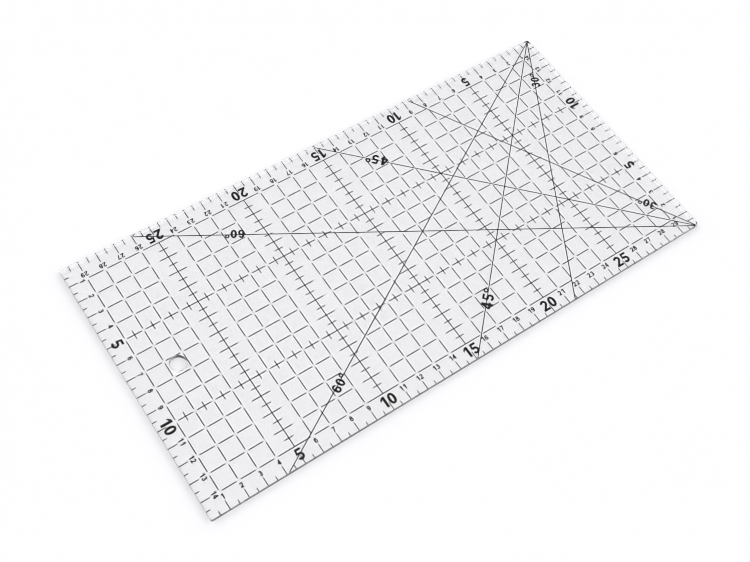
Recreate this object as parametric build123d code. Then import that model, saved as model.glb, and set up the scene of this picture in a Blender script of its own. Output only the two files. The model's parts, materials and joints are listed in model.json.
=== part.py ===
from build123d import *

import os

# A clear quilting ruler, lying on a table with its print facing down. All sizes are in millimetres.
# The frame is +X along the 30 cm scale, +Y along the 15 cm scale and +Z up. Its origin is at the
# middle of the underside. The print is laid out first in ruler coordinates, which start at the
# front left corner, and is moved to that origin when it is written.

# Driving dimensions: the acrylic plate
CENTIMETRE = 10.0
LENGTH_CM = 30
WIDTH_CM = 15
LENGTH = LENGTH_CM * CENTIMETRE
WIDTH = WIDTH_CM * CENTIMETRE
PLATE_THICKNESS = 3.0
CORNER_RADIUS = 1.0
HOLE_DIAMETER = 8.5
HOLE_CENTRE = (2.5 * CENTIMETRE, 7.5 * CENTIMETRE)

# Driving dimensions: the printed lines
INK_THICKNESS = 0.03
LINE_WIDTH = 0.45
TICK_WIDTH = 0.43
LONG_TICK = 4.9
SHORT_TICK = 2.4
EDGE_MARGIN = 0.2
DASH_GAP = 1.1
MAJOR_CM = 5
ANGLES = (30, 45, 60)

# Driving dimensions: the printed numerals and labels
NUMERAL_TOP = 8.7
SMALL_NUMERAL_HEIGHT = 2.65
LARGE_NUMERAL_HEIGHT = 6.0
LABEL_HEIGHT = {30: 5.0, 45: 5.95, 60: 5.0}
LABEL_FROM_VERTEX = {30: 29.0, 45: 177.0, 60: 248.0}
LABEL_DROP = 0.45

# Numeral proportions, as shares of the numeral's height
ADVANCE = 0.783
HALF_WIDTH = 0.33
STEM = 0.225
BAR = 0.185
CURVE = 0.195
RING_DIAMETER = 0.46
RING_STROKE = 0.135
RING_ADVANCE = 0.66

SMALLEST_INK_AREA = 0.02
OUTSIDE = 2.0


# ---- Numerals, drawn one unit high with the baseline at y = 0 and centred on x = 0 ----


def rectangle(left, bottom, right, top):
    """Returns an upright rectangle given by its sides."""
    centre = Pos((left + right) / 2, (bottom + top) / 2)
    return centre * Rectangle(right - left, top - bottom)


def outline(*points):
    """Returns a straight-sided shape through its corner points."""
    return Polygon(*points, align=None)


def ring(centre_y, outer_radius, stroke):
    """Returns a round ring centred on x = 0."""
    return Pos(0, centre_y) * (Circle(outer_radius) - Circle(outer_radius - stroke))


def bowl(centre_y, outer_radius, start_angle, arc_size):
    """Returns part of a round ring: a curved pen stroke from start_angle through arc_size degrees."""
    middle_radius = outer_radius - CURVE / 2
    return trace(CenterArc((0, centre_y), middle_radius, start_angle, arc_size), CURVE)


def oval():
    """Returns the upright oval ring that a zero, a six and a nine are drawn from."""
    outer = Ellipse(HALF_WIDTH, 0.5)
    inner = Ellipse(HALF_WIDTH - STEM, 0.5 - BAR)
    return Pos(0, 0.5) * (outer - inner)


def digit_one():
    """Returns a stem with a slanted flag."""
    right = 0.27
    left = right - STEM
    stem = rectangle(left, 0, right, 1)
    flag = outline((left, 1), (-0.17, 0.79), (-0.17, 0.62), (left, 0.78))
    return stem + flag


def digit_two():
    """Returns a hook that runs down a diagonal to a flat foot."""
    top_radius = 0.31
    turn = -40
    hook = bowl(1 - top_radius, top_radius, 172, turn - 172)
    start = Vector(top_radius - CURVE / 2, 0).rotate(Axis.Z, turn) + Vector(0, 1 - top_radius)
    downwards = Vector(0, -1).rotate(Axis.Z, turn)
    end = start + downwards * (start.Y / -downwards.Y)
    diagonal = trace(Line(start, end), CURVE)
    foot = rectangle(-HALF_WIDTH, 0, HALF_WIDTH - 0.02, BAR)
    return (hook + diagonal + foot) & rectangle(-HALF_WIDTH, 0, HALF_WIDTH, OUTSIDE)


def digit_three():
    """Returns two bowls, open to the left, that share their waist."""
    upper_radius = 0.2725
    lower_radius = 0.5 * (1 + CURVE) - upper_radius
    upper = bowl(1 - upper_radius, upper_radius, 165, -255)
    lower = bowl(lower_radius, lower_radius, 90, -255)
    waist = 2 * lower_radius
    tongue = rectangle(-0.09, waist - CURVE, 0, waist)
    return upper + lower + tongue


def digit_four():
    """Returns a stem, a crossbar and a diagonal around a three-cornered counter."""
    right = 0.2
    left = right - STEM
    bar_bottom = 0.2
    bar_top = bar_bottom + BAR
    stem = rectangle(left, 0, right, 1)
    diagonal = outline((left, 1), (-0.34, 0.37), (-0.34, bar_bottom), (left, bar_bottom))
    counter = outline((left, bar_top), (left, 0.66), (-0.14, bar_top))
    crossbar = rectangle(-0.34, bar_bottom, 0.31, bar_top)
    return diagonal - counter + stem + crossbar


def digit_five():
    """Returns a top bar, a leaning stem and a bowl that is open to the left."""
    radius = 0.325
    top_bar = rectangle(-0.21, 1 - BAR, 0.28, 1)
    stem = outline((-0.22, 1), (-0.07, 1), (-0.12, 0.52), (-0.29, 0.46))
    return top_bar + stem + bowl(radius, radius, 138, -293)


def digit_six():
    """Returns a closed bowl with the top and left side of an oval above it."""
    left_side = rectangle(-OUTSIDE, 0.3, 0, OUTSIDE)
    top_right = rectangle(0, 0.73, OUTSIDE, OUTSIDE)
    hook = oval() & (left_side + top_right)
    return ring(HALF_WIDTH, HALF_WIDTH, CURVE) + hook


def digit_seven():
    """Returns a top bar over a leaning stem."""
    top_bar = rectangle(-0.31, 1 - BAR, 0.31, 1)
    stem = outline((0.31, 1), (0.31, 0.87), (0.02, 0), (-0.17, 0), (0.11, 0.87))
    return top_bar + stem


def digit_eight():
    """Returns two rings that share their waist."""
    upper_radius = 0.2625
    lower_radius = 0.5 * (1 + CURVE) - upper_radius
    return ring(1 - upper_radius, upper_radius, CURVE) + ring(lower_radius, lower_radius, CURVE)


def digit_nine():
    """Returns a six turned upside down."""
    return Pos(0, 1) * Rot(0, 0, 180) * digit_six()


DIGITS = {
    "0": oval(),
    "1": digit_one(),
    "2": digit_two(),
    "3": digit_three(),
    "4": digit_four(),
    "5": digit_five(),
    "6": digit_six(),
    "7": digit_seven(),
    "8": digit_eight(),
    "9": digit_nine(),
}


def numeral(value, height):
    """Returns the faces of a whole number, centred on x = 0 with its baseline at y = 0."""
    text = str(value)
    faces = []
    for place, character in enumerate(text):
        centre = (place - (len(text) - 1) / 2) * ADVANCE * height
        digit = scale(DIGITS[character], by=height, about=(0, 0, 0))
        faces += (Pos(centre, 0) * digit).faces()
    return faces


def degree_ring(height):
    """Returns the raised ring of a degree sign that follows a two-digit numeral."""
    radius = RING_DIAMETER / 2
    centre_x = (ADVANCE / 2 + RING_ADVANCE) * height
    sign = scale(ring(1 - radius, radius, RING_STROKE), by=height, about=(0, 0, 0))
    return (Pos(centre_x, 0) * sign).faces()


# ---- Lines ----


def stroke(start, end, width=LINE_WIDTH):
    """Returns the printed line between two points, with square ends on them."""
    along = Vector(*end) - Vector(*start)
    middle = Vector(*start) + along * 0.5
    turn = Vector(1, 0).get_signed_angle(along, Vector(0, 0, 1))
    return (Pos(middle.X, middle.Y) * Rot(0, 0, turn) * Rectangle(along.length, width)).face()


def whole_centimetres(first, last):
    """Returns the positions of the whole centimetres from first to last, in millimetres."""
    return [number * CENTIMETRE for number in range(first, last + 1)]


def half_centimetres(first, last):
    """Returns the positions midway between the whole centimetres from first to last."""
    return [position + CENTIMETRE / 2 for position in whole_centimetres(first, last - 1)]


def is_major(position):
    """Says whether a position is on a five-centimetre line."""
    return position % (MAJOR_CM * CENTIMETRE) == 0


MAJOR_COLUMNS = [x for x in whole_centimetres(1, LENGTH_CM - 1) if is_major(x)]
MAJOR_ROWS = [y for y in whole_centimetres(1, WIDTH_CM - 1) if is_major(y)]
FIRST_ROW = CENTIMETRE
LAST_ROW = WIDTH - CENTIMETRE
UNBROKEN_ROWS = [FIRST_ROW, *MAJOR_ROWS, LAST_ROW]


def edge_ticks(length_cm):
    """Returns one edge's ticks, for an edge along y = 0: long at centimetres, short between them."""
    ticks = [(x, LONG_TICK) for x in whole_centimetres(1, length_cm - 1)]
    ticks += [(x, SHORT_TICK) for x in half_centimetres(0, length_cm)]
    return [stroke((x, EDGE_MARGIN), (x, reach), TICK_WIDTH) for x, reach in ticks]


def edge_numerals(length_cm, large):
    """Returns one edge's large numerals, at each fifth centimetre, or its small ones between them."""
    height = LARGE_NUMERAL_HEIGHT if large else SMALL_NUMERAL_HEIGHT
    baseline = NUMERAL_TOP - height
    faces = []
    for number in range(1, length_cm):
        if (number % MAJOR_CM == 0) == large:
            place = Pos(number * CENTIMETRE, baseline)
            faces += [place * face for face in numeral(number, height)]
    return faces


def row_dash(start, end, y):
    """Returns one dash of a centimetre row, crossed by its short ticks on a five-centimetre row."""
    dash = stroke((start, y), (end, y))
    if y not in MAJOR_ROWS:
        return dash
    crossed = [x for x in half_centimetres(0, LENGTH_CM) if start < x < end]
    ticks = [stroke((x, y - SHORT_TICK), (x, y + SHORT_TICK)) for x in crossed]
    return (Sketch() + dash + ticks).face()


def row_dashes(rows):
    """Returns the dashes along X on these rows, except beside the five-centimetre lines."""
    dashes = []
    for y in rows:
        for x in whole_centimetres(1, LENGTH_CM - 2):
            if not is_major(x) and not is_major(x + CENTIMETRE):
                dashes.append(row_dash(x + DASH_GAP, x + CENTIMETRE - DASH_GAP, y))
    return dashes


def column_dashes():
    """Returns the dashes along Y on each centimetre column that has no five-centimetre line."""
    dashes = []
    for x in whole_centimetres(1, LENGTH_CM - 1):
        if is_major(x):
            continue
        for y in whole_centimetres(1, WIDTH_CM - 2):
            dashes.append(stroke((x, y + DASH_GAP), (x, y + CENTIMETRE - DASH_GAP)))
    return dashes


def five_centimetre_line(x):
    """Returns one unbroken line along Y, with its ticks and the rows that run across it unbroken."""
    reach = CENTIMETRE - DASH_GAP
    bars = [row_dash(x - reach, x + reach, y) for y in UNBROKEN_ROWS]
    for y in whole_centimetres(1, WIDTH_CM - 1):
        if y not in UNBROKEN_ROWS:
            bars.append(stroke((x - LONG_TICK, y), (x + LONG_TICK, y)))
    for y in half_centimetres(1, WIDTH_CM - 1):
        bars.append(stroke((x - SHORT_TICK, y), (x + SHORT_TICK, y)))
    return (Sketch() + stroke((x, FIRST_ROW), (x, LAST_ROW)) + bars).face()


# ---- Angle lines: three from each right-hand corner to the opposite long edge ----


def angle_direction(angle, from_back):
    """Returns the way an angle line runs from its corner. The angle is measured off the short edge."""
    turn = -90 - angle
    return Vector(1, 0).rotate(Axis.Z, turn if from_back else -turn)


def angle_corner(from_back):
    """Returns the corner that three angle lines start at."""
    return Vector(LENGTH, WIDTH if from_back else 0)


def angle_line(angle, from_back):
    """Returns one angle line, cut off short of both long edges."""
    start = angle_corner(from_back)
    direction = angle_direction(angle, from_back)
    end = start + direction * (WIDTH / abs(direction.Y))
    printed_area = rectangle(EDGE_MARGIN, EDGE_MARGIN, LENGTH - EDGE_MARGIN, WIDTH - EDGE_MARGIN)
    return (stroke((start.X, start.Y), (end.X, end.Y)) & printed_area).faces()


def angle_label(angle, from_back):
    """Returns one angle's label, centred on its line a little below it.

    Both sets of labels are read along their lines, from the left: those of the back corner towards
    the corner, and those of the front corner away from it, with the ruler turned round.
    """
    height = LABEL_HEIGHT[angle]
    direction = angle_direction(angle, from_back)
    middle = angle_corner(from_back) + direction * LABEL_FROM_VERTEX[angle]
    reading = direction * -1 if from_back else direction
    turn = Vector(1, 0).get_signed_angle(reading, Vector(0, 0, 1))
    ring_end = (ADVANCE / 2 + RING_ADVANCE + RING_DIAMETER / 2) * height
    digits_start = -(ADVANCE / 2 + HALF_WIDTH) * height
    centring = Pos(-(digits_start + ring_end) / 2, -height / 2 - LABEL_DROP)
    place = Pos(middle.X, middle.Y) * Rot(0, 0, turn) * centring
    return [place * face for face in numeral(angle, height) + degree_ring(height)]


# ---- The whole print, in the order in which one group gives way to another ----


def edges():
    """Returns each edge's name, its start corner with the way it reads, and its length."""
    return [
        ("front", Pos(0, 0), LENGTH_CM),
        ("right", Pos(LENGTH, 0) * Rot(0, 0, 90), WIDTH_CM),
        ("back", Pos(LENGTH, WIDTH) * Rot(0, 0, 180), LENGTH_CM),
        ("left", Pos(0, WIDTH) * Rot(0, 0, -90), WIDTH_CM),
    ]


def printed_groups():
    """Returns the print's groups by name. Where two groups cross, the one listed first keeps the ink."""
    groups = {}
    for corner, from_back in (("back", True), ("front", False)):
        for angle in ANGLES:
            groups[f"label_{angle}_degrees_{corner}"] = angle_label(angle, from_back)
    for edge, place, length_cm in edges():
        groups[f"large_numerals_{edge}"] = [place * face for face in edge_numerals(length_cm, True)]
    for edge, place, length_cm in edges():
        groups[f"small_numerals_{edge}"] = [place * face for face in edge_numerals(length_cm, False)]
    for corner, from_back in (("back", True), ("front", False)):
        for angle in ANGLES:
            groups[f"line_{angle}_degrees_{corner}"] = angle_line(angle, from_back)
    minor_rows = [y for y in whole_centimetres(1, WIDTH_CM - 1) if not is_major(y)]
    groups["five_centimetre_lines"] = [five_centimetre_line(x) for x in MAJOR_COLUMNS]
    groups["five_centimetre_rows"] = row_dashes(MAJOR_ROWS)
    groups["grid_dashes_lengthwise"] = row_dashes(minor_rows)
    groups["grid_dashes_crosswise"] = column_dashes()
    for edge, place, length_cm in edges():
        groups[f"edge_ticks_{edge}"] = [place * face for face in edge_ticks(length_cm)]
    return groups


def boxes_meet(first, second):
    """Says whether two flat bounding boxes overlap."""
    apart_x = first.max.X < second.min.X or second.max.X < first.min.X
    apart_y = first.max.Y < second.min.Y or second.max.Y < first.min.Y
    return not (apart_x or apart_y)


def trimmed(faces, inked):
    """Returns the faces without what is already inked, and adds them to the inked areas."""
    kept = []
    for face in faces:
        box = face.bounding_box()
        in_the_way = [other for other, other_box in inked if boxes_meet(box, other_box)]
        pieces = (Sketch() + face - in_the_way).faces() if in_the_way else [face]
        kept += [piece for piece in pieces if piece.area > SMALLEST_INK_AREA]
    inked += [(face, face.bounding_box()) for face in kept]
    return kept


# ---- Solids ----


def acrylic_plate():
    """Returns the clear plate, with eased corners and the hanging hole."""
    blank = Pos(LENGTH / 2, WIDTH / 2) * RectangleRounded(LENGTH, WIDTH, CORNER_RADIUS)
    hole = Pos(*HOLE_CENTRE) * Circle(HOLE_DIAMETER / 2)
    return Pos(0, 0, INK_THICKNESS) * extrude(blank - hole, PLATE_THICKNESS)


def ink_film(faces):
    """Returns flat printed shapes as a film of ink on the plate's underside."""
    return Compound([extrude(face, INK_THICKNESS).solid() for face in faces])


def write(name, shape):
    """Writes one node, moved from ruler coordinates to the frame's origin."""
    export_step(Pos(-LENGTH / 2, -WIDTH / 2, 0) * shape, f"parts/{name}.step")


os.makedirs("parts", exist_ok=True)
write("acrylic_plate", acrylic_plate())
inked_areas = []
for group_name, group_faces in printed_groups().items():
    write(group_name, ink_film(trimmed(group_faces, inked_areas)))
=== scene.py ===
"""Builds the looks of a clear acrylic quilting ruler around its CAD frame, laid out as a Blender add-on.

The CAD nodes of the print stay as they are and get their ink. The plate is made again here, with
broken and polished edges, and stands in for the CAD plate. All lengths in the code are metres.
"""

import json
import math

import bpy
import numpy as np
from bpy.props import FloatProperty, FloatVectorProperty, IntProperty, PointerProperty
from mathutils import Matrix, Vector


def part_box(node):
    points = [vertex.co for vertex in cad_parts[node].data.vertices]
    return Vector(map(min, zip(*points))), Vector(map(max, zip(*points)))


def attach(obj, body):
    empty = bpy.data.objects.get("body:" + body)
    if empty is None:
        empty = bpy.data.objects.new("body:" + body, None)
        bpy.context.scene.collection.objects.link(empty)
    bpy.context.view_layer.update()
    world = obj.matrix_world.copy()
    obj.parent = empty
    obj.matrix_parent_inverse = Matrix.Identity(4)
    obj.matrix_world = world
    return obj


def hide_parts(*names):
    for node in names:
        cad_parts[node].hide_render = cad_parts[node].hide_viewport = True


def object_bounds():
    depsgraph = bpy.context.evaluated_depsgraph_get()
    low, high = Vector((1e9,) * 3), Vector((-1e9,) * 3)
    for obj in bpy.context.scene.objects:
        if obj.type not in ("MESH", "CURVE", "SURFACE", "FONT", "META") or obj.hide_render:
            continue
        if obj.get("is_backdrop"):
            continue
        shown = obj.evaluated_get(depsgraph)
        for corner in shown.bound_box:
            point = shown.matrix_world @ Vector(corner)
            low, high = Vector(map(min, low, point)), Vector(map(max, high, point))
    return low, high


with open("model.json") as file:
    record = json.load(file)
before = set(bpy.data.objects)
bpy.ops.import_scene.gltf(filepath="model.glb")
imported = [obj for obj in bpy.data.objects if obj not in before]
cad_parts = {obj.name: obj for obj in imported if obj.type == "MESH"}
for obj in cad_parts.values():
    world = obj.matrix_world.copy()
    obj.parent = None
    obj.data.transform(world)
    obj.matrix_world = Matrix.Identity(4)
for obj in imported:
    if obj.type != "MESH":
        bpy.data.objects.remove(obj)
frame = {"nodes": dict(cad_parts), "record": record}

bl_info = {
    "name": "Clear quilting ruler",
    "version": (1, 0, 0),
    "blender": (4, 5, 0),
    "location": "View3D > Sidebar > Ruler",
    "description": "Makes the acrylic plate, the print's ink and a plain studio for a quilting ruler",
    "category": "Object",
}

MILLIMETRE = 0.001
LIGHT_BOUNCES = 48
PLATE_NODE = "acrylic_plate"
INK_NODES = sorted(name for name in frame["nodes"] if name != PLATE_NODE)
CAD_LOW, CAD_HIGH = (np.array(corner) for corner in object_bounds())
PLATE_LOW, PLATE_HIGH = (np.array(corner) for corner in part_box(PLATE_NODE))
HANGING_HOLE = next(mount for mount in frame["record"]["mounts"] if mount["kind"] == "bore")


# ---- Colours and nodes ----


def linear(hex_colour):
    """Returns an sRGB hex colour as linear red, green, blue and an alpha of one."""
    channels = [int(hex_colour[place:place + 2], 16) / 255 for place in (1, 3, 5)]
    curved = [c / 12.92 if c <= 0.04045 else ((c + 0.055) / 1.055) ** 2.4 for c in channels]
    return (*curved, 1.0)


def add_node(tree, kind, inputs=None, **settings):
    """Adds a node, gives it its settings, and fills its inputs with values or from other nodes' outputs."""
    node = tree.nodes.new(kind)
    for name, value in settings.items():
        setattr(node, name, value)
    for socket, value in (inputs or {}).items():
        if isinstance(value, bpy.types.NodeSocket):
            tree.links.new(value, node.inputs[socket])
        else:
            node.inputs[socket].default_value = value
    return node


def new_material(name):
    """Returns a new material with an empty node tree."""
    material = bpy.data.materials.new(name)
    material.use_nodes = True
    material.node_tree.nodes.clear()
    return material


# ---- Sizes and colours that a user may change ----


class RulerPlateSettings(bpy.types.PropertyGroup):
    """Sizes and finish of the acrylic plate."""

    corner_radius: FloatProperty(
        name="Corner radius", description="Radius of the plate's four eased corners",
        default=1.0 * MILLIMETRE, min=0.2 * MILLIMETRE, max=10.0 * MILLIMETRE, unit="LENGTH", precision=5)
    edge_break: FloatProperty(
        name="Edge break", description="Radius of the polished rounding along every sharp edge",
        default=0.12 * MILLIMETRE, min=0.02 * MILLIMETRE, max=1.0 * MILLIMETRE, unit="LENGTH", precision=5)
    ink_bite: FloatProperty(
        name="Ink contact", description="How far the ink's upper side lies within the acrylic that it wets",
        default=0.005 * MILLIMETRE, min=0.0, max=0.02 * MILLIMETRE, unit="LENGTH", precision=6)
    edge_steps: IntProperty(
        name="Edge steps", description="Points along each rounded edge", default=5, min=3, max=17)
    directions: IntProperty(
        name="Directions", description="Even directions around the hole that the plate is divided in",
        default=160, min=48, max=720)
    corner_steps: IntProperty(
        name="Corner steps", description="Points along each eased corner", default=9, min=3, max=33)
    tint: FloatVectorProperty(
        name="Acrylic tint", description="Share of each colour that passes through one face of the plate",
        default=linear("#fbfbfb")[:3], size=3, min=0.0, max=1.0, subtype="COLOR")
    wave_length: FloatProperty(
        name="Wave length", description="Distance between the sheet's very shallow waves, left by casting",
        default=22.0 * MILLIMETRE, min=2.0 * MILLIMETRE, unit="LENGTH")
    wave_height: FloatProperty(
        name="Wave height", description="Height of the sheet's very shallow waves",
        default=0.01 * MILLIMETRE, min=0.0, unit="LENGTH", precision=5)
    scratch_spacing: FloatProperty(
        name="Scratch spacing", description="Typical distance between hairline scratches",
        default=26.0 * MILLIMETRE, min=2.0 * MILLIMETRE, unit="LENGTH")
    scratch_width: FloatProperty(
        name="Scratch width", description="Width of a hairline scratch",
        default=0.08 * MILLIMETRE, min=0.01 * MILLIMETRE, unit="LENGTH", precision=5)
    scratch_depth: FloatProperty(
        name="Scratch depth", description="Depth of a hairline scratch",
        default=0.004 * MILLIMETRE, min=0.0, unit="LENGTH", precision=6)
    scratch_patch: FloatProperty(
        name="Scratch patch", description="Size of the patches that handling has scratched",
        default=13.0 * MILLIMETRE, min=1.0 * MILLIMETRE, unit="LENGTH")
    scratch_threshold: FloatVectorProperty(
        name="Scratch threshold", description="Patch values where scratches start and where they are full",
        default=(0.54, 0.62), size=2, min=0.0, max=1.0)
    roughness: FloatProperty(
        name="Roughness", description="Roughness of the polished surface", default=0.01, min=0.0, max=1.0)
    refraction: FloatProperty(
        name="Refractive index", description="Refractive index of cast acrylic",
        default=1.49, min=1.3, max=1.7)


class RulerInkSettings(bpy.types.PropertyGroup):
    """Colour and finish of the print."""

    dense: FloatVectorProperty(
        name="Dense ink", description="Colour where the ink lies thick",
        default=linear("#050506")[:3], size=3, min=0.0, max=1.0, subtype="COLOR")
    thin: FloatVectorProperty(
        name="Thin ink", description="Colour where the ink lies thinner",
        default=linear("#0d0d0f")[:3], size=3, min=0.0, max=1.0, subtype="COLOR")
    patch_size: FloatProperty(
        name="Patch size", description="Size of the soft patches where the ink lies thicker or thinner",
        default=4.5 * MILLIMETRE, min=0.5 * MILLIMETRE, unit="LENGTH")
    roughness: FloatVectorProperty(
        name="Roughness", description="Roughness where the ink lies thick, and where it lies thin",
        default=(0.34, 0.52), size=2, min=0.0, max=1.0)
    mesh_pitch: FloatProperty(
        name="Screen mesh pitch", description="Distance between the marks that the printing screen leaves",
        default=0.25 * MILLIMETRE, min=0.05 * MILLIMETRE, max=1.0 * MILLIMETRE, unit="LENGTH", precision=5)
    mesh_depth: FloatProperty(
        name="Screen mesh depth", description="Depth of the marks that the printing screen leaves",
        default=0.01 * MILLIMETRE, min=0.0, unit="LENGTH", precision=5)


class RulerStudioSettings(bpy.types.PropertyGroup):
    """Floor, sky light and camera."""

    floor_side: FloatProperty(
        name="Floor side", description="Side of the square floor", default=40.0, min=1.0, unit="LENGTH")
    floor_drop: FloatProperty(
        name="Floor drop", description="Gap between the print and the floor, as loose paper gives",
        default=0.05 * MILLIMETRE, min=0.0, unit="LENGTH", precision=5)
    floor_colour: FloatVectorProperty(
        name="Floor colour", description="Colour of the pale floor",
        default=linear("#e9e9eb")[:3], size=3, min=0.0, max=1.0, subtype="COLOR")
    sky_overhead: FloatProperty(
        name="Overhead light", description="Brightness of the light tent overhead", default=2.43, min=0.0)
    sky_horizon: FloatProperty(
        name="Horizon light", description="Brightness of the light tent at its foot", default=0.36, min=0.0)
    sky_rise: FloatProperty(
        name="Light rise", description="Elevation from which the tent grows brighter towards overhead",
        default=math.radians(14), subtype="ANGLE")
    sky_lean: FloatProperty(
        name="Light lean", description="How much brighter the tent is on the side that the light comes from",
        default=0.35, min=0.0, max=1.0)
    sky_heading: FloatProperty(
        name="Light heading", description="Direction that the light comes from, turned from +X towards +Y",
        default=math.radians(72), subtype="ANGLE")
    backdrop_light: FloatProperty(
        name="Backdrop light", description="Brightness of the white cloth that continues the floor",
        default=1.0, min=0.0)
    backdrop_top: FloatProperty(
        name="Backdrop top", description="Elevation at which the white cloth starts to fade",
        default=math.radians(0.8), subtype="ANGLE")
    backdrop_end: FloatProperty(
        name="Backdrop end", description="Elevation at which the white cloth has faded into the tent",
        default=math.radians(2.2), subtype="ANGLE")
    flag_light: FloatProperty(
        name="Flag light", description="Brightness of the black cloth that keeps glare off the plate",
        default=0.04, min=0.0)
    flag_heading: FloatProperty(
        name="Flag heading", description="Direction of the black cloth, turned from +X towards +Y",
        default=math.radians(50), subtype="ANGLE")
    flag_height: FloatProperty(
        name="Flag height", description="Elevation of the black cloth's middle", default=math.radians(60),
        subtype="ANGLE")
    flag_half_width: FloatProperty(
        name="Flag half width", description="Angle from the black cloth's middle to where it starts to fade",
        default=math.radians(20), subtype="ANGLE")
    flag_fade: FloatProperty(
        name="Flag fade", description="Angle over which the black cloth fades", default=math.radians(8),
        subtype="ANGLE")
    camera_place: FloatVectorProperty(
        name="Camera place", description="Where the camera stands",
        default=(-198.0 * MILLIMETRE, -207.4 * MILLIMETRE, 467.7 * MILLIMETRE), size=3, unit="LENGTH")
    camera_heading: FloatProperty(
        name="Camera heading", description="Direction that the camera looks in, turned from +X towards +Y",
        default=math.radians(47.70), subtype="ANGLE")
    camera_pitch: FloatProperty(
        name="Camera pitch", description="Angle that the camera looks down by", default=math.radians(60.38),
        subtype="ANGLE")
    camera_roll: FloatProperty(
        name="Camera roll", description="Turn of the camera about its own axis", default=math.radians(9.32),
        subtype="ANGLE")
    lens: FloatProperty(
        name="Lens", description="Focal length in millimetres on a sensor 36 mm wide",
        default=50.59, min=10.0)
    shift: FloatVectorProperty(
        name="Lens shift", description="Sideways and upward shift of the lens, as shares of picture width",
        default=(0.0032, 0.0005), size=2)


# ---- Acrylic plate ----


def edge_section(bottom, top, edge_break, steps):
    """Returns a plate edge's section from the underside up to the top face.

    Formula: a quarter circle of the edge break's radius turns from the underside into the upright wall,
    and another one turns from the wall into the top face. Each point has its distance in from the wall,
    its height, and its normal's outward and upward parts.
    """
    turn = np.linspace(0, math.pi / 2, steps)
    inset = edge_break * (1 - np.sin(turn))
    rise = edge_break * (1 - np.cos(turn))
    insets = np.concatenate([inset, inset[::-1]])
    heights = np.concatenate([bottom + rise, top - rise[::-1]])
    outward = np.concatenate([np.sin(turn), np.sin(turn[::-1])])
    upward = np.concatenate([-np.cos(turn), np.cos(turn[::-1])])
    return insets, heights, outward, upward


def plate_outline(low, high, radius, middle, directions, corner_steps):
    """Returns the plate's outline as points and outward normals, in order around the hole's middle.

    Formula: a rounded rectangle, sampled where even directions from the hole's middle cross its straight
    sides and at even steps along its four quarter-circle corners.
    """
    turn = np.linspace(0, 2 * math.pi, directions, endpoint=False)
    ray = np.stack([np.cos(turn), np.sin(turn)], axis=1)
    side = np.where(ray > 0, high, low)
    reach = np.min(np.abs(side - middle) / np.maximum(np.abs(ray), 1e-12), axis=1, keepdims=True)
    hit = middle + ray * reach
    centre = (low + high) / 2
    half = (high - low) / 2
    from_centre = (hit - centre) / (half - radius)
    on_side = np.min(np.abs(from_centre), axis=1) < 1
    hit = hit[on_side]
    share = np.abs(hit - centre) / half
    side_normal = np.where(share >= share.max(axis=1, keepdims=True), np.sign(hit - centre), 0)

    quarter = np.linspace(0, math.pi / 2, corner_steps)
    arc = np.stack([np.cos(quarter), np.sin(quarter)], axis=1)
    signs = np.array([(1, 1), (-1, 1), (-1, -1), (1, -1)])[:, None, :]
    corner_normal = (signs * arc[None]).reshape(-1, 2)
    corner_middle = np.repeat(centre + signs[:, 0, :] * (half - radius), corner_steps, axis=0)
    corner = corner_middle + corner_normal * radius

    points = np.concatenate([hit, corner])
    normals = np.concatenate([side_normal, corner_normal])
    around = points - middle
    order = np.argsort(np.arctan2(around[:, 1], around[:, 0]))
    return points[order], normals[order]


def plate_surface(settings):
    """Returns the plate's vertices and normals as a closed grid of rows (sections) by columns (directions).

    Formula: one parameter goes around the hole, the other goes round the plate's section: up the hole's
    wall, out over the top face, down the outer wall, and back under the plate to the hole.
    """
    middle = np.array(HANGING_HOLE["pos_m"][:2])
    hole_radius = HANGING_HOLE["dims"]["r_mm"] * MILLIMETRE
    bottom = PLATE_LOW[2] - settings.ink_bite
    sections = edge_section(bottom, PLATE_HIGH[2], settings.edge_break, settings.edge_steps)
    insets, heights, outward, upward = (values[:, None, None] for values in sections)

    outline, outline_normal = plate_outline(
        PLATE_LOW[:2], PLATE_HIGH[:2], settings.corner_radius,
        middle, settings.directions, settings.corner_steps)
    away = outline - middle
    away /= np.linalg.norm(away, axis=1, keepdims=True)
    rim = middle + away * hole_radius

    def carried(path, path_normal, flip):
        """Carries the edge section along a path, turned over where flip is set."""
        flat = path[None] - path_normal[None] * insets
        level = np.broadcast_to(heights, (*flat.shape[:2], 1))
        normal = np.concatenate(
            [path_normal[None] * outward, np.broadcast_to(upward, level.shape)], axis=2)
        place = np.concatenate([flat, level], axis=2)
        return (place[::-1], normal[::-1]) if flip else (place, normal)

    hole_place, hole_normal = carried(rim, -away, False)
    side_place, side_normal = carried(outline, outline_normal, True)
    return np.concatenate([hole_place, side_place]), np.concatenate([hole_normal, side_normal])


def closed_grid_faces(rows, columns):
    """Returns the quads of a grid that closes on itself both ways, as rows of four vertex numbers."""
    row, column = np.meshgrid(np.arange(rows), np.arange(columns), indexing="ij")
    next_row = (row + 1) % rows
    next_column = (column + 1) % columns
    corners = [row * columns + column, next_row * columns + column,
               next_row * columns + next_column, row * columns + next_column]
    return np.stack(corners, axis=-1).reshape(-1, 4)


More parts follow.
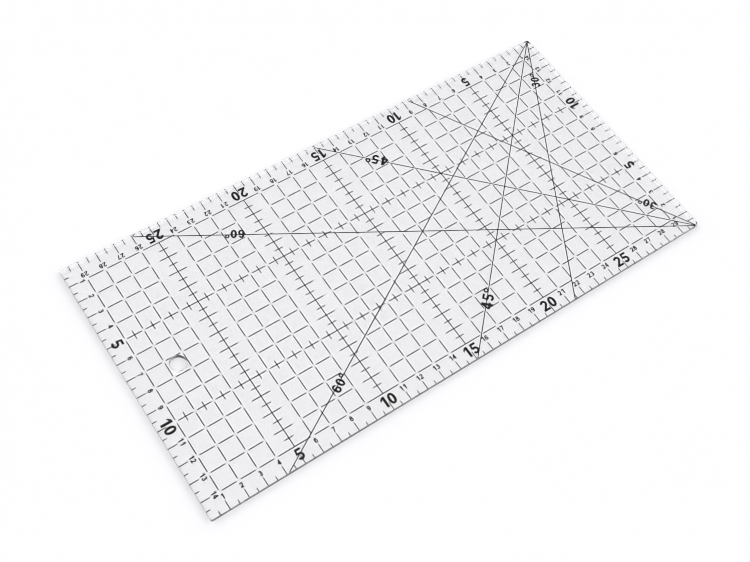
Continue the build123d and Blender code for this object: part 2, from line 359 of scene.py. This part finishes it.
def new_mesh_object(name, vertices, faces, normals):
    """Makes an object from arrays of vertices, quads and exact vertex normals."""
    mesh = bpy.data.meshes.new(name)
    mesh.vertices.add(len(vertices))
    mesh.vertices.foreach_set("co", vertices.astype(np.float32).ravel())
    mesh.loops.add(faces.size)
    mesh.loops.foreach_set("vertex_index", faces.astype(np.int32).ravel())
    mesh.polygons.add(len(faces))
    mesh.polygons.foreach_set("loop_start", np.arange(0, faces.size, 4, dtype=np.int32))
    mesh.polygons.foreach_set("use_smooth", np.ones(len(faces), dtype=bool))
    mesh.update(calc_edges=True)
    mesh.validate()
    mesh.normals_split_custom_set_from_vertices([tuple(normal) for normal in normals.tolist()])
    made = bpy.data.objects.new(name, mesh)
    bpy.context.scene.collection.objects.link(made)
    return made


def cast_acrylic_material(settings):
    """Cast acrylic sheet with polished edges.

    It is water clear, bends the print's edges slightly, mirrors its surroundings faintly from above and
    strongly along its cut walls. Handling leaves hairline scratches and a very slight waviness.
    """
    material = new_material("cast_acrylic_polished")
    tree = material.node_tree
    place = add_node(tree, "ShaderNodeTexCoord").outputs["Object"]
    waves = add_node(tree, "ShaderNodeTexNoise", {
        "Vector": place, "Scale": 1 / settings.wave_length, "Detail": 1.0})
    wave_bump = add_node(tree, "ShaderNodeBump", {
        "Height": waves.outputs["Fac"], "Strength": 1.0, "Distance": settings.wave_height})

    from_scratch = add_node(tree, "ShaderNodeTexVoronoi", {
        "Vector": place, "Scale": 1 / settings.scratch_spacing}, feature="DISTANCE_TO_EDGE")
    half_width = settings.scratch_width / 2 / settings.scratch_spacing
    groove = add_node(tree, "ShaderNodeMapRange", {
        "Value": from_scratch.outputs["Distance"], "From Max": half_width, "To Min": 1.0, "To Max": 0.0})
    patches = add_node(tree, "ShaderNodeTexNoise", {
        "Vector": place, "Scale": 1 / settings.scratch_patch, "Detail": 2.0})
    start, full = settings.scratch_threshold
    scratched = add_node(tree, "ShaderNodeMapRange", {
        "Value": patches.outputs["Fac"], "From Min": start, "From Max": full})
    scratches = add_node(tree, "ShaderNodeMath", {
        0: groove.outputs["Result"], 1: scratched.outputs["Result"]}, operation="MULTIPLY")
    scratch_bump = add_node(tree, "ShaderNodeBump", {
        "Height": scratches.outputs["Value"], "Strength": 1.0, "Distance": settings.scratch_depth,
        "Normal": wave_bump.outputs["Normal"]}, invert=True)

    shader = add_node(tree, "ShaderNodeBsdfPrincipled", {
        "Base Color": (*settings.tint, 1.0),
        "Roughness": settings.roughness,
        "IOR": settings.refraction,
        "Transmission Weight": 1.0,
        "Normal": scratch_bump.outputs["Normal"],
    })
    add_node(tree, "ShaderNodeOutputMaterial", {"Surface": shader.outputs["BSDF"]})
    return material


class RULER_OT_plate(bpy.types.Operator):
    """Makes the clear plate with its hole, broken edges and eased corners"""

    bl_idname = "ruler.make_plate"
    bl_label = "Acrylic plate"

    def execute(self, context):
        settings = context.scene.ruler_plate
        place, normal = plate_surface(settings)
        faces = closed_grid_faces(*place.shape[:2])
        plate = new_mesh_object("plate", place.reshape(-1, 3), faces, normal.reshape(-1, 3))
        plate.data.materials.append(cast_acrylic_material(settings))
        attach(plate, "root")
        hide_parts(PLATE_NODE)
        return {"FINISHED"}


# ---- Print ----


def screen_print_ink_material(settings):
    """Black screen-print ink, cured on the plate's underside.

    It is deep black through the acrylic and satin where it is bare. The screen leaves a fine mesh of marks,
    and the film is a little thinner in soft patches some millimetres across.
    """
    material = new_material("screen_print_ink_black")
    tree = material.node_tree
    place = add_node(tree, "ShaderNodeTexCoord").outputs["Object"]
    patches = add_node(tree, "ShaderNodeTexNoise", {
        "Vector": place, "Scale": 1 / settings.patch_size, "Detail": 3.0})
    colour = add_node(tree, "ShaderNodeMix", {
        "Factor": patches.outputs["Fac"], "A": (*settings.dense, 1.0), "B": (*settings.thin, 1.0),
    }, data_type="RGBA")
    thick, thin = settings.roughness
    roughness = add_node(tree, "ShaderNodeMapRange", {
        "Value": patches.outputs["Fac"], "To Min": thick, "To Max": thin})
    mesh_marks = add_node(tree, "ShaderNodeTexVoronoi", {
        "Vector": place, "Scale": 1 / settings.mesh_pitch, "Randomness": 0.15})
    bump = add_node(tree, "ShaderNodeBump", {
        "Height": mesh_marks.outputs["Distance"], "Strength": 0.25, "Distance": settings.mesh_depth})
    shader = add_node(tree, "ShaderNodeBsdfPrincipled", {
        "Base Color": colour.outputs["Result"],
        "Roughness": roughness.outputs["Result"],
        "Normal": bump.outputs["Normal"],
    })
    add_node(tree, "ShaderNodeOutputMaterial", {"Surface": shader.outputs["BSDF"]})
    return material


class RULER_OT_print(bpy.types.Operator):
    """Gives every printed line, tick, numeral and label its ink"""

    bl_idname = "ruler.ink_print"
    bl_label = "Print"

    def execute(self, context):
        ink = screen_print_ink_material(context.scene.ruler_ink)
        for name in INK_NODES:
            mesh = frame["nodes"][name].data
            mesh.materials.clear()
            mesh.materials.append(ink)
        return {"FINISHED"}


# ---- Studio ----


def direction(heading, elevation):
    """Returns the unit vector with a heading from +X towards +Y and an elevation above the floor."""
    level = math.cos(elevation)
    return Vector((level * math.cos(heading), level * math.sin(heading), math.sin(elevation)))


def make_floor(settings):
    """Makes the flat pale floor, a little below the print."""
    half = settings.floor_side / 2
    height = CAD_LOW[2] - settings.floor_drop
    corners = [(-half, -half, height), (half, -half, height), (half, half, height), (-half, half, height)]
    mesh = bpy.data.meshes.new("floor")
    mesh.from_pydata(corners, [], [(0, 1, 2, 3)])
    floor = bpy.data.objects.new("floor", mesh)
    bpy.context.scene.collection.objects.link(floor)
    material = new_material("matt_paper")
    tree = material.node_tree
    shader = add_node(tree, "ShaderNodeBsdfPrincipled", {
        "Base Color": (*settings.floor_colour, 1.0), "Roughness": 1.0, "Specular IOR Level": 0.0})
    add_node(tree, "ShaderNodeOutputMaterial", {"Surface": shader.outputs["BSDF"]})
    mesh.materials.append(material)
    floor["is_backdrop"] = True


def make_light_tent(settings):
    """Lights the scene from a soft tent, bright overhead and dimmer at its foot, with two cloths.

    A black cloth hangs where the plate would mirror the tent towards the camera. A low white cloth
    carries the floor on, so that the floor's far edge doesn't show.
    """
    world = bpy.data.worlds.new("light_tent")
    bpy.context.scene.world = world
    world.use_nodes = True
    tree = world.node_tree
    tree.nodes.clear()
    towards = add_node(tree, "ShaderNodeTexCoord").outputs["Generated"]
    height = add_node(tree, "ShaderNodeSeparateXYZ", {"Vector": towards}).outputs["Z"]
    tent = add_node(tree, "ShaderNodeMapRange", {
        "Value": height, "From Min": math.sin(settings.sky_rise), "From Max": 1.0,
        "To Min": settings.sky_horizon, "To Max": settings.sky_overhead,
    }, interpolation_type="SMOOTHSTEP")
    light_side = direction(settings.sky_heading, 0.0)
    lean = add_node(tree, "ShaderNodeVectorMath", {0: towards, 1: light_side}, operation="DOT_PRODUCT")
    leaning = add_node(tree, "ShaderNodeMath", {
        0: lean.outputs["Value"], 1: settings.sky_lean, 2: 1.0}, operation="MULTIPLY_ADD")
    lit_tent = add_node(tree, "ShaderNodeMath", {
        0: tent.outputs["Result"], 1: leaning.outputs["Value"]}, operation="MULTIPLY")
    flag = direction(settings.flag_heading, settings.flag_height)
    near_flag = add_node(tree, "ShaderNodeVectorMath", {0: towards, 1: flag}, operation="DOT_PRODUCT")
    cover = add_node(tree, "ShaderNodeMapRange", {
        "Value": near_flag.outputs["Value"],
        "From Min": math.cos(settings.flag_half_width + settings.flag_fade),
        "From Max": math.cos(settings.flag_half_width),
    }, interpolation_type="SMOOTHSTEP")
    flagged_tent = add_node(tree, "ShaderNodeMix", {
        "Factor": cover.outputs["Result"], "A": lit_tent.outputs["Value"], "B": settings.flag_light})
    above_backdrop = add_node(tree, "ShaderNodeMapRange", {
        "Value": height,
        "From Min": math.sin(settings.backdrop_top),
        "From Max": math.sin(settings.backdrop_end),
    }, interpolation_type="SMOOTHSTEP")
    strength = add_node(tree, "ShaderNodeMix", {
        "Factor": above_backdrop.outputs["Result"],
        "A": settings.backdrop_light,
        "B": flagged_tent.outputs["Result"],
    })
    background = add_node(tree, "ShaderNodeBackground", {
        "Color": linear("#ffffff"), "Strength": strength.outputs["Result"]})
    add_node(tree, "ShaderNodeOutputWorld", {"Surface": background.outputs["Background"]})


def make_camera(settings):
    """Makes the camera from its place, heading, pitch and roll."""
    forward = direction(settings.camera_heading, -settings.camera_pitch)
    level = forward.cross(Vector((0, 0, 1))).normalized()
    upright = level.cross(forward)
    roll = settings.camera_roll
    right = level * math.cos(roll) + upright * math.sin(roll)
    up = upright * math.cos(roll) - level * math.sin(roll)
    turn = Matrix((right, up, -forward)).transposed().to_4x4()
    data = bpy.data.cameras.new("camera")
    data.sensor_fit = "HORIZONTAL"
    data.sensor_width = 36.0
    data.lens = settings.lens
    data.shift_x, data.shift_y = settings.shift
    data.clip_start = 0.01
    camera = bpy.data.objects.new("camera", data)
    camera.matrix_world = Matrix.Translation(settings.camera_place) @ turn
    bpy.context.scene.collection.objects.link(camera)
    bpy.context.scene.camera = camera


def set_clear_light(scene):
    """Shows colours as they are and fine lines crisply, and lets light cross the clear plate unblurred.

    Many bounces are needed, because light that is caught in the plate meets its faces many times.
    """
    scene.view_settings.view_transform = "Standard"
    scene.cycles.max_bounces = LIGHT_BOUNCES
    scene.cycles.transmission_bounces = LIGHT_BOUNCES
    scene.cycles.glossy_bounces = LIGHT_BOUNCES
    scene.cycles.blur_glossy = 0.0
    scene.cycles.filter_width = 1.0


class RULER_OT_studio(bpy.types.Operator):
    """Makes the pale floor, the light tent and the camera"""

    bl_idname = "ruler.make_studio"
    bl_label = "Studio"

    def execute(self, context):
        settings = context.scene.ruler_studio
        make_floor(settings)
        make_light_tent(settings)
        make_camera(settings)
        set_clear_light(context.scene)
        return {"FINISHED"}


# ---- Add-on ----


OPERATORS = (RULER_OT_plate, RULER_OT_print, RULER_OT_studio)


class RULER_PT_panel(bpy.types.Panel):
    """Lists the ruler's settings and the buttons that make it"""

    bl_idname = "RULER_PT_panel"
    bl_label = "Quilting ruler"
    bl_space_type = "VIEW_3D"
    bl_region_type = "UI"
    bl_category = "Ruler"

    def draw(self, context):
        for settings in (context.scene.ruler_plate, context.scene.ruler_ink, context.scene.ruler_studio):
            box = self.layout.box()
            for name in settings.__annotations__:
                box.prop(settings, name)
        for operator in OPERATORS:
            self.layout.operator(operator.bl_idname)


SETTINGS = {
    "ruler_plate": RulerPlateSettings,
    "ruler_ink": RulerInkSettings,
    "ruler_studio": RulerStudioSettings,
}


def register():
    """Registers the settings, the operators and the panel."""
    for name, group in SETTINGS.items():
        bpy.utils.register_class(group)
        setattr(bpy.types.Scene, name, PointerProperty(type=group))
    for made in (*OPERATORS, RULER_PT_panel):
        bpy.utils.register_class(made)


def unregister():
    """Takes back everything that register adds."""
    for made in reversed((*OPERATORS, RULER_PT_panel)):
        bpy.utils.unregister_class(made)
    for name, group in SETTINGS.items():
        delattr(bpy.types.Scene, name)
        bpy.utils.unregister_class(group)


def main():
    """Makes the whole scene."""
    register()
    bpy.ops.ruler.make_plate()
    bpy.ops.ruler.ink_print()
    bpy.ops.ruler.make_studio()


if __name__ == "__main__":
    main()
